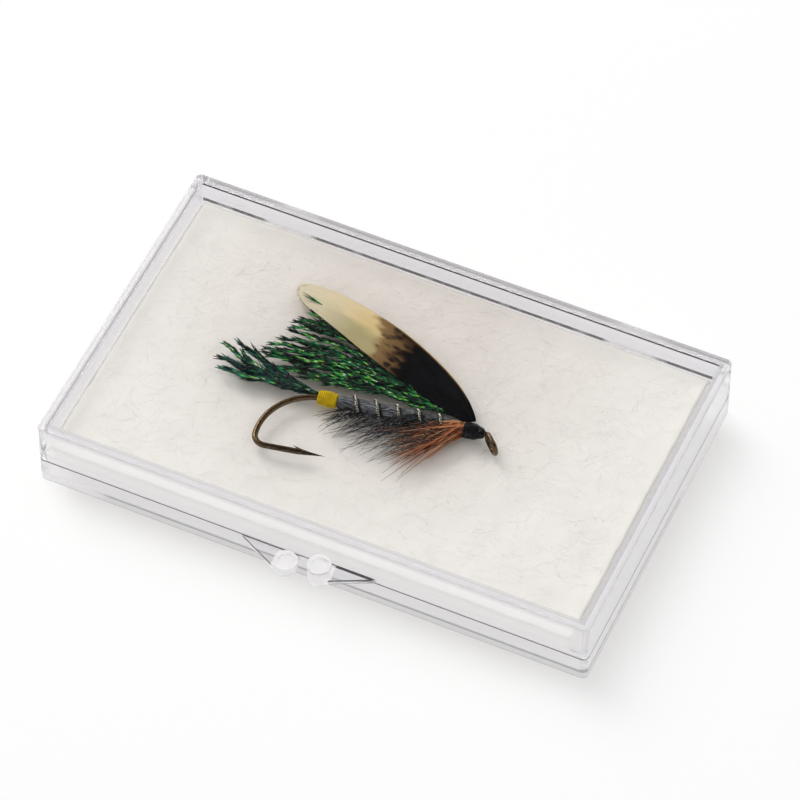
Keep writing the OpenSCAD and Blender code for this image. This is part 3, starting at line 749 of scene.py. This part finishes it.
class FLYBOX_OT_hook(bpy.types.Operator):
    """Makes the hook as one drawn wire with its barb and its turned-down eye"""
    bl_idname = "flybox.hook"
    bl_label = "Hook"

    SIDES = 20
    BEND_X, SHANK_STEPS, LIMB_STEPS, SHORT_STEPS = 2.0, 12, 24, 6
    # Radius, sweep and steps of the bend, and then of the throat
    BENDS = ((8.9, radians(95), 40), (2.0, radians(87.5), 20))
    # The limb ends in the point. Its taper has to start below the shank
    LIMB, POINT, POINT_BELOW, TIP_R = 9.7, 4.6, -8, 0.02
    BARB, BARB_TURN, BARB_RADII = 2.5, radians(157), (0.4, 0.03)
    EYE_BEND_X, EYE_BEND_R, EYE_TURN = 27.75, 0.6, radians(52)
    EYE_LEG, EYE_R, EYE_WIRE, EYE_RINGS = 1.5, 1.0, 0.4, 48

    def route(self):
        """Points of the wire from the eye bend round to the point, and the radius at each."""
        points = [Vector((self.EYE_BEND_X - t * (self.EYE_BEND_X - self.BEND_X), 0, 0))
                  for t in (i / self.SHANK_STEPS for i in range(self.SHANK_STEPS))]
        heading, spot = pi, Vector((self.BEND_X, 0, 0))
        for radius, sweep, steps in self.BENDS:
            centre = spot + radius * Vector((-sin(heading), cos(heading), 0))
            for i in range(steps):
                turn = Matrix.Rotation(sweep * i / steps, 3, "Z")
                points.append(centre + turn @ (spot - centre))
            spot = centre + Matrix.Rotation(sweep, 3, "Z") @ (spot - centre)
            heading += sweep
        ahead = Vector((cos(heading), sin(heading), 0))
        points += [spot + ahead * self.LIMB * i / self.LIMB_STEPS for i in range(self.LIMB_STEPS + 1)]
        straight = self.LIMB - self.POINT
        radii = []
        for point in points:
            run = (point - spot).dot(ahead) if point.y < self.POINT_BELOW and point.x > spot.x - 0.01 else 0
            share = max(0.0, (run - straight) / self.POINT)
            radii.append(max(self.TIP_R, SHANK_HALF * (1 - share ** 1.15)))
        return points, radii, spot, ahead

    def execute(self, context):
        points, radii, spot, ahead = self.route()
        steps = self.SHORT_STEPS
        bm = grown([Strand(points, radii)], self.SIDES)
        side = Vector((-ahead.y, ahead.x, 0))
        root = spot + ahead * (self.LIMB - self.POINT + 1.6)
        lean = Matrix.Rotation(self.BARB_TURN, 3, "Z") @ ahead
        barb = [root + lean * self.BARB * i / steps + side * 0.05 * i / steps for i in range(steps + 1)]
        grow(bm, [Strand(barb, taper(*self.BARB_RADII, steps + 1, 0.8), flat=0.8)], self.SIDES)
        bend = Vector((self.EYE_BEND_X, -self.EYE_BEND_R, 0))
        down = Vector((cos(self.EYE_TURN), -sin(self.EYE_TURN), 0))
        neck = [bend + self.EYE_BEND_R * Vector((sin(t), cos(t), 0))
                for t in (self.EYE_TURN * i / steps for i in range(steps + 1))]
        centre = neck[-1] + down * (self.EYE_R + self.EYE_LEG / 2)
        neck.append(neck[-1] + down * 0.25)
        grow(bm, [Strand(neck, taper(SHANK_HALF, self.EYE_WIRE, len(neck)))], self.SIDES)
        ring = []
        for t in (tau * i / self.EYE_RINGS for i in range(self.EYE_RINGS + 1)):
            stretch = copysign(self.EYE_LEG / 2, cos(t)) if abs(cos(t)) > 1e-6 else 0
            ring.append(centre - down * (self.EYE_R * cos(t) + stretch) + UP * self.EYE_R * sin(t))
        across = [down.cross(UP)] * len(ring)
        grow(bm, [Strand(ring, [self.EYE_WIRE] * len(ring), ups=across)], self.SIDES)
        dress(bm, "hook_wire", bronzed_wire(context.scene.flybox_fly.bronze), "hook")
        return {"FINISHED"}


# ---------------------------------------------------------------- dressing


RIB_TURNS, RIB_START, RIB_EASE = 5, radians(-110), 0.05
RIB_INSET = 0.6


def rib_angle(u):
    """Angle of the rib about the shank at a share of its length. The winding eases in and out of a straight start."""
    eased = (lambda v: v * v / (2 * RIB_EASE) if v < RIB_EASE else v - RIB_EASE / 2)
    phase = eased(u) if u <= 1 - RIB_EASE else 1 - RIB_EASE - eased(1 - u)
    return RIB_START + tau * RIB_TURNS * phase / (1 - RIB_EASE)


def rib_shade(first, last):
    """The share of painted light on the body: painted shade in the groove beside each turn of the rib, and more
    painted shade towards the head, under the hackle.
    """
    x0, x1 = first + RIB_INSET, last - RIB_INSET

    def lit(x, angle):
        u = clamped((x - x0) / (x1 - x0))
        apart = (angle - rib_angle(u) + pi) % tau - pi
        ahead = -apart * (x1 - x0) / (tau * RIB_TURNS)
        near = max(0.0, 1 - abs(ahead - 0.25) / 0.6)
        return (1 - 0.75 * min(1.0, near * 1.6)) * (1 - 0.35 * u)
    return lit


class FLYBOX_OT_floss(bpy.types.Operator):
    """Winds the floss tag, the floss body and the thread head"""
    bl_idname = "flybox.floss"
    bl_label = "Tag, Body and Head"

    # Share of the length, and share of the radius there
    TAG = ((0.0, 0.5), (0.02, 0.86), (0.12, 0.95), (0.5, 1.0), (0.9, 0.98), (0.98, 0.9), (1.0, 0.5))
    BODY = ((0.0, 0.5), (0.005, 0.84), (0.35, 0.97), (0.8, 1.0), (0.99, 0.9), (1.0, 0.5))
    HEAD = ((0.0, 0.6), (0.03, 0.92), (0.2, 1.0), (0.6, 0.92), (0.9, 0.62), (1.0, 0.42))

    def execute(self, context):
        colours = context.scene.flybox_fly
        line = self.profile(*fly_stations("tag_floss"), 1.2, self.TAG, 0.05)
        bm = spun(line, threads=1, depth=0.16, pitch=0.3, seed=2.0)
        yellow = floss("yellow_floss", colours.tag, seen(150, 118, 2), 0.5)
        dress(bm, "tag_winding", yellow, "tag_floss")
        ends = fly_stations("body_floss")
        line = self.profile(*ends, 1.25, self.BODY, 0.12)
        bm = spun(line, threads=30, depth=0.04, pitch=8.0, seed=5.0, segments=120, lit=rib_shade(*ends))
        grey = floss("grey_floss", colours.body, seen(24, 25, 28), 0.8)
        dress(bm, "body_winding", grey, "body_floss")
        line = self.profile(*fly_stations("head_thread"), 1.35, self.HEAD, 0.04)
        bm = spun(line, threads=1, depth=0.09, pitch=0.22, seed=9.0)
        dress(bm, "head_winding", black_thread(colours.head), "head_thread")
        return {"FINISHED"}

    @staticmethod
    def profile(first, last, radius, shape, pitch):
        """Stations and radii from the axis out along the shape and back to the axis."""
        count = max(8, round((last - first) / pitch))
        points = [(first, 0.01)]
        for i in range(count + 1):
            t = i / count
            for (t0, r0), (t1, r1) in zip(shape, shape[1:]):
                if t0 <= t <= t1:
                    points.append((first + (last - first) * t, radius * (r0 + (r1 - r0) * (t - t0) / (t1 - t0))))
                    break
        return points + [(last, 0.01)]


class FLYBOX_OT_rib(bpy.types.Operator):
    """Winds the oval tinsel round the body as two twisted wires"""
    bl_idname = "flybox.rib"
    bl_label = "Tinsel Rib"

    ORBIT, WIRE, TWIST = 1.48, 0.12, 0.62
    # How far the two wires swing along the body and out of it
    SWING = (0.14, 0.06)
    STEPS = 640

    def execute(self, context):
        first, last = fly_stations("body_floss")
        x0, x1 = first + RIB_INSET, last - RIB_INSET
        path = []
        for i in range(self.STEPS + 1):
            t = i / self.STEPS
            a = rib_angle(t)
            path.append(Vector((x0 + (x1 - x0) * t, self.ORBIT * cos(a), self.ORBIT * sin(a))))
        walked = 0.0
        wires = [[], []]
        outs = []
        for i, point in enumerate(path):
            ahead = (path[min(i + 1, self.STEPS)] - path[max(i - 1, 0)]).normalized()
            out = Vector((0, point.y, point.z)).normalized()
            side = ahead.cross(out).normalized()
            if i:
                walked += (point - path[i - 1]).length
            spin = tau * walked / self.TWIST
            swing = side * cos(spin) * self.SWING[0] + out * sin(spin) * self.SWING[1]
            wires[0].append(point + swing)
            wires[1].append(point - swing)
            outs.append(out)
        tones = [0.5 + 0.5 * sin(i * 1.3) for i in range(self.STEPS + 1)]
        bm = grown([Strand(w, [self.WIRE] * len(w), ups=outs, tones=tones) for w in wires], 6)
        silver = silver_tinsel(context.scene.flybox_fly.tinsel)
        dress(bm, "rib_winding", silver, "rib_tinsel")
        return {"FINISHED"}


WAVE_RISE = 6


def wavy(line, draw, swing):
    """The line with a gentle wave that grows from its root, and is whole WAVE_RISE mm from there."""
    seed = draw.uniform(0, 90)
    run, waved = 0.0, [line[0]]
    for before, point in zip(line, line[1:]):
        run += (point - before).length
        side = (point - before).normalized().cross(UP)
        reach = swing * min(1.0, run / WAVE_RISE)
        waved.append(point + side * reach * 1.6 * noise.noise(Vector((run * 0.22, seed, 0)))
                     + UP * reach * 0.5 * noise.noise(Vector((run * 0.2, seed, 9))))
    return waved


# A quill's radii at its root and tip, a flue's from root to tip, and the light on a dark quill and on the others
QUILL_RADII, FLUE_RADII = (0.14, 0.05), (0.06, 0.145, 0.11, 0.015)
DARK_QUILL, BRIGHT_QUILL = 0.45, 1.15

# Painted light on the flue on each side of the quill, one side lit and the other in shade, the share of dull ones
# there, and how much tone those keep
PAINTED_SIDE_LIGHT, DULL_SHARE, DULL = {-1: 0.5, 1: 0.24}, {-1: 0.2, 1: 0.45}, 0.15


def herl(quills, draw, flue, gap, angle):
    """A bmesh of quills with flue on both sides. A quill is a list of points, and every third is darker."""
    rings = len(quills[0])
    stems, flues = [], []
    for which, line in enumerate(quills):
        seed = draw.uniform(0, 50)
        bright = DARK_QUILL if which % 3 == 1 else BRIGHT_QUILL
        stems.append(Strand(line, taper(*QUILL_RADII, rings), 0.02, flat=0.7))
        length = sum((b - a).length for a, b in zip(line, line[1:]))
        count = int(length / gap)
        for i in range(count):
            t = (i + draw.random()) / count
            k = min(int(t * (rings - 1)), rings - 2)
            spot = line[k].lerp(line[k + 1], t * (rings - 1) - k)
            ahead = (line[k + 1] - line[k]).normalized()
            side = ahead.cross(UP).normalized()
            lobe = 0.5 + 0.5 * noise.noise(Vector((t * length * 0.45, seed, 0)))
            for hand in (-1, 1):
                lean = angle * draw.uniform(0.6, 1.35) * (1.0 if t < 0.9 else 0.75)
                reach = flue * (0.6 + 0.7 * lobe) * draw.uniform(0.8, 1.15) * min(1.0, 0.25 + 6 * t)
                out = ahead * cos(lean) + side * hand * sin(lean) + UP * draw.uniform(-0.22, 0.3)
                tip = spot + out.normalized() * reach + ahead * reach * 0.3
                way = spot + out.normalized() * reach * 0.55
                glow = noise.noise(Vector((t * length * 0.5, seed + hand * 3, 7)))
                tone = clamped(PAINTED_SIDE_LIGHT[hand] + glow * 2.2 + draw.uniform(-0.2, 0.2))
                if draw.random() < DULL_SHARE[hand]:
                    tone *= DULL
                line_of_flue = curve(spot, way, tip, len(FLUE_RADII))
                flues.append(Strand(line_of_flue, FLUE_RADII, clamped(tone * bright), flat=0.4))
    bm = grown(stems, 5)
    grow(bm, flues, 3)
    return bm


class FLYBOX_OT_tail(bpy.types.Operator):
    """Makes the tail of peacock sword"""
    bl_idname = "flybox.tail"
    bl_label = "Tail"

    ROOT = Vector((0.5, 0.75, -0.1))
    TIPS = ((-15.6, 1.4), (-16.3, 3.3), (-14.2, 3.1), (-16.3, 6.6), (-13.8, 7.2), (-11.4, 5.8))
    LOW = -0.9

    def execute(self, context):
        draw = random.Random(11)
        quills = []
        count = context.scene.flybox_fly.tail_strands
        for i in range(count):
            tip = Vector(self.TIPS[i % len(self.TIPS)]) * (1.0 if i < len(self.TIPS) else draw.uniform(0.8, 0.97))
            tip = Vector((tip.x, tip.y + draw.uniform(-0.25, 0.25), draw.uniform(self.LOW, 0.3)))
            way = Vector((tip.x * 0.5, self.ROOT.y + (tip.y - self.ROOT.y) * 0.16 + draw.uniform(-0.25, 0.25),
                          draw.uniform(-0.8, 0.5)))
            root = self.ROOT + Vector((0, draw.uniform(-0.3, 0.3), draw.uniform(-0.35, 0.35)))
            quills.append(wavy(curve(root, way, tip, 16), draw, 0.5))
        bm = herl(quills, draw, flue=1.35, gap=0.15, angle=radians(19))
        stops = [(0.0, seen(9, 10, 14)), (0.2, seen(14, 42, 60)), (0.38, seen(24, 114, 92)),
                 (0.55, seen(56, 166, 94)), (0.75, seen(130, 202, 90)), (1.0, seen(204, 222, 110))]
        dress(bm, "tail_swords", peacock("sword_herl", stops), "tail")
        return {"FINISHED"}


class FLYBOX_OT_underwing(bpy.types.Operator):
    """Makes the underwing of peacock herl"""
    bl_idname = "flybox.underwing"
    bl_label = "Underwing"

    ROOT = Vector((24.2, 2.3, 0.0))
    TIPS = ((11.5, 5.4), (4.3, 3.1), (-2.1, 2.6), (-7.4, 3.9), (-5.8, 5.2), (-9.6, 6.1), (-10.0, 6.9),
            (-8.9, 8.3), (-7.0, 10.3), (-6.6, 12.7), (-6.3, 14.3), (-4.2, 15.0))
    # Loose tips on the near wing: start, way, tip, tone
    STRAY = (((-3.6, 17.5, 0.7), (-5.4, 18.0, 1.35), (-7.5, 18.9, 1.3), 0.5),
             ((-4.6, 17.7, 0.8), (-6.0, 18.0, 1.35), (-7.3, 18.3, 1.3), 0.25))
    STRAY_RADII = (0.05, 0.1, 0.14, 0.12, 0.08, 0.02)

    def execute(self, context):
        draw = random.Random(23)
        quills = []
        count = context.scene.flybox_fly.herl_strands
        for i in range(count):
            t = i / (count - 1) * (len(self.TIPS) - 1)
            k = min(int(t), len(self.TIPS) - 2)
            tip = Vector(self.TIPS[k]).lerp(Vector(self.TIPS[k + 1]), t - k)
            back = draw.uniform(0.6, 3.0) if i % 2 else 0.0
            tip = Vector((tip.x + back, tip.y + draw.uniform(-0.2, 0.2), draw.uniform(-0.2, 0.6)))
            quills.append(self.line(tip, draw))
        bm = herl(quills, draw, flue=1.4, gap=0.26, angle=radians(15))
        grow(bm, [Strand(curve(*(Vector(p) for p in points), len(self.STRAY_RADII)), self.STRAY_RADII, tone, flat=0.4)
                  for *points, tone in self.STRAY], 5)
        stops = [(0.0, seen(6, 7, 7)), (0.2, seen(8, 26, 18)), (0.38, seen(14, 106, 60)),
                 (0.55, seen(34, 170, 92)), (0.75, seen(98, 204, 66)), (1.0, seen(196, 222, 70))]
        dress(bm, "underwing_herl", peacock("wing_herl", stops), "underwing")
        return {"FINISHED"}

    def line(self, tip, draw):
        root = self.ROOT + Vector((draw.uniform(-0.5, 0.3), draw.uniform(-0.4, 0.5), draw.uniform(-0.25, 0.25)))
        lift = 0.12 + 0.02 * (tip.y - 3)
        way = root.lerp(tip, 0.42) + Vector((0, (root - tip).length * lift * 0.6, 0.1))
        return wavy(curve(root, way, tip, 16), draw, 0.6)


def hackle_fibre(root, lean, way_lean, reach, tip_up, lift, width, rings, tone):
    """A fibre that leans back from the head, with its tip at a height. Its middle is lifted over the ends."""
    tip = root + Vector((-cos(lean), -sin(lean), 0)) * reach
    tip.z = tip_up
    way = root + Vector((-cos(way_lean[0]), -sin(way_lean[1]), 0)) * reach * 0.45
    way.z = max(root.z, tip.z) + lift
    return Strand(curve(root, way, tip, rings), taper(width, 0.026, rings), tone)


def seat_at(x, radius, angle):
    """A point round the shank."""
    return Vector((x, radius * cos(angle), radius * sin(angle)))


class FLYBOX_OT_body_hackle(bpy.types.Operator):
    """Makes the body hackle of fine dark fibres"""
    bl_idname = "flybox.body_hackle"
    bl_label = "Body Hackle"

    ROOT_R, WIDTH, RINGS = 1.3, 0.1, 7

    def execute(self, context):
        draw = random.Random(31)
        first, last = fly_stations("body_floss")
        strands = []
        for _ in range(context.scene.flybox_fly.body_fibres):
            s = draw.random() ** 0.8
            over = draw.random() < 0.5 and s > 0.5
            angle = radians(draw.uniform(80, 150) if over else draw.uniform(150, 215))
            root = seat_at(first + 0.8 + (last - first - 1.6) * s, self.ROOT_R, angle)
            lean = radians(draw.uniform(16, 58))
            bowed = lean + radians(draw.uniform(-12, 24))
            reach = (3.6 + 9.4 * sqrt(s)) * draw.uniform(0.5, 1.05)
            strands.append(hackle_fibre(root, lean, (bowed, bowed), reach, draw.uniform(-1.3, 1.0),
                                        0.5 if over else 0.25, self.WIDTH, self.RINGS, draw.random()))
        tint = context.scene.flybox_fly.hackle
        black = hackle("black_hackle", [(0.0, deeper(tint, 0.35)), (1.0, deeper(tint, 1.6))])
        dress(grown(strands, 3), "body_hackle_fibres", black, "body_hackle")
        return {"FINISHED"}


class FLYBOX_OT_throat_hackle(bpy.types.Operator):
    """Makes the throat hackle: a brown bundle with longer black fibres over it"""
    bl_idname = "flybox.throat_hackle"
    bl_label = "Throat Hackle"

    COLLAR = 24.0
    ROOT_R, WIDTH, RINGS = 1.25, 0.088, 8
    BLACK_SHARE, OVER_SHARE = 0.36, 0.35

    def execute(self, context):
        draw = random.Random(43)
        settings = context.scene.flybox_fly
        strands = []
        for _ in range(settings.throat_fibres):
            black = draw.random() < self.BLACK_SHARE
            over = draw.random() < self.OVER_SHARE
            angle = radians(draw.uniform(60, 140) if over else draw.uniform(140, 220))
            root = seat_at(self.COLLAR + draw.uniform(-0.7, 0.6), self.ROOT_R, angle)
            lean = radians(draw.triangular(4, 64, 36))
            reach = draw.uniform(8.0, 15.5) if black else draw.uniform(5.5, 12.5)
            tip_up = draw.uniform(-1.2, 1.2)
            tone = draw.uniform(0.0, 0.18) if black else draw.uniform(0.35, 1.0)
            strands.append(hackle_fibre(root, lean, (lean * 0.9, lean * 1.1), reach, tip_up,
                                        0.55 if over else 0.25, self.WIDTH, self.RINGS, tone))
        tint = settings.throat
        brown = hackle("brown_hackle", [(0.0, seen(14, 13, 14)), (0.2, seen(24, 20, 18)), (0.35, deeper(tint, 0.6)),
                                        (0.6, tint), (1.0, seen(228, 168, 114))])
        dress(grown(strands, 3), "throat_hackle_fibres", brown, "throat_hackle")
        return {"FINISHED"}


class FLYBOX_OT_wings(bpy.types.Operator):
    """Makes the two married wing strips"""
    bl_idname = "flybox.wings"
    bl_label = "Wings"

    # Piece, node, side of the shank, share of painted light, lower on the far strip as painted shade, and seed of
    # each strip
    STRIPS = (("wing_strip_near", "wing_near", 1, 1.0, 5), ("wing_strip_far", "wing_far", -1, 0.8, 9))
    SPANS, CHORDS, BARBS = 110, 72, 24
    LOW_EDGE = ((24.35, 1.4), (12.5, 5.4), (3.0, 12.2), (-6.7, 17.5))
    TOP_EDGE = ((25.75, 2.1), (22.0, 10.5), (9.0, 18.2), (-6.5, 22.6))
    TIP_WAY = (-11.2, 20.6)
    ROUND_FROM, ROUND_BY = 0.87, 0.28
    THICK, CAMBER, RIDGE, SWAY = 0.22, 0.33, 0.05, 0.18
    # The outline is where the shank lies, and each strip lies higher or lower than that
    SHIFT, STAND = (0.12, -0.42), 0.6

    @staticmethod
    def cubic(points, t):
        a, b, c, d = (Vector(p) for p in points)
        s = 1 - t
        return a * s ** 3 + b * 3 * s * s * t + c * 3 * s * t * t + d * t ** 3

    def spot(self, span, chord, fray):
        """Point of the strip at a share of its span and of its chord."""
        low, top = self.cubic(self.LOW_EDGE, span), self.cubic(self.TOP_EDGE, span)
        late = max(0.0, span - self.ROUND_FROM) / (1 - self.ROUND_FROM)
        chord *= 1 - self.ROUND_BY * (1 - sqrt(max(0.0, 1 - late * late)))
        plain = low.lerp(top, chord)
        tip_low, tip_top = Vector(self.LOW_EDGE[3]), Vector(self.TOP_EDGE[3])
        tip = tip_low * (1 - chord) ** 2 + Vector(self.TIP_WAY) * 2 * chord * (1 - chord) + tip_top * chord ** 2
        bulge = tip - tip_low.lerp(tip_top, chord)
        return plain + bulge * span ** 5 * (1 - fray * span ** 8)

    def execute(self, context):
        for name, node, side, dim, seed in self.STRIPS:
            bm = bmesh.new()
            uv = bm.loops.layers.uv.new("strip")
            bmesh.ops.create_grid(bm, x_segments=self.SPANS, y_segments=self.CHORDS, size=0.5)
            shares = {}
            for vert in bm.verts:
                shares[vert] = span, chord = vert.co.x + 0.5, vert.co.y + 0.5
                barb = int(chord * self.BARBS * 2)
                fray = 0.45 * noise.noise(Vector((barb * 1.7, seed, 0))) + 0.1
                flat = self.spot(span, chord, fray) + Vector(self.SHIFT) * side
                ridge = self.RIDGE * abs(sin(pi * chord * self.BARBS))
                camber = self.CAMBER * sin(pi * chord) * sin(pi * min(1, span * 1.1)) ** 0.6
                sway = self.SWAY * noise.noise(Vector((span * 4, chord * 2, seed)))
                vert.co = (flat.x, flat.y, side * (self.STAND + camber + ridge) + sway)
            for face in bm.faces:
                for loop in face.loops:
                    loop[uv].uv = shares[loop.vert]
            wing = dress(bm, name, wing_feather(name, dim), node)
            thick = wing.modifiers.new("thickness", "SOLIDIFY")
            thick.thickness = self.THICK * MM
            thick.offset = 0
        return {"FINISHED"}


# ---------------------------------------------------------------- panel and registration


OPERATORS = (FLYBOX_OT_stage, FLYBOX_OT_box, FLYBOX_OT_pad, FLYBOX_OT_hook, FLYBOX_OT_floss, FLYBOX_OT_rib,
             FLYBOX_OT_tail, FLYBOX_OT_underwing, FLYBOX_OT_body_hackle, FLYBOX_OT_throat_hackle, FLYBOX_OT_wings)
GROUPS = {"flybox_stage": FLYBOX_PG_stage, "flybox_box": FLYBOX_PG_box, "flybox_fly": FLYBOX_PG_fly}


class FLYBOX_PT_panel(bpy.types.Panel):
    """Lists the pieces of the fly box"""
    bl_idname = "FLYBOX_PT_panel"
    bl_label = "Fly Box"
    bl_space_type = "VIEW_3D"
    bl_region_type = "UI"
    bl_category = "Fly Box"

    def draw(self, context):
        for name, group in GROUPS.items():
            box = self.layout.box()
            for key in group.__annotations__:
                box.prop(getattr(context.scene, name), key)
        for operator in OPERATORS:
            self.layout.operator(operator.bl_idname)


def register():
    for group in GROUPS.values():
        bpy.utils.register_class(group)
    for name, group in GROUPS.items():
        setattr(bpy.types.Scene, name, PointerProperty(type=group))
    for operator in OPERATORS:
        bpy.utils.register_class(operator)
    bpy.utils.register_class(FLYBOX_PT_panel)


def unregister():
    bpy.utils.unregister_class(FLYBOX_PT_panel)
    for operator in reversed(OPERATORS):
        bpy.utils.unregister_class(operator)
    for name, group in GROUPS.items():
        delattr(bpy.types.Scene, name)
        bpy.utils.unregister_class(group)


def main():
    register()
    for operator in OPERATORS:
        group, name = operator.bl_idname.split(".")
        getattr(getattr(bpy.ops, group), name)()


if __name__ == "__main__":
    main()
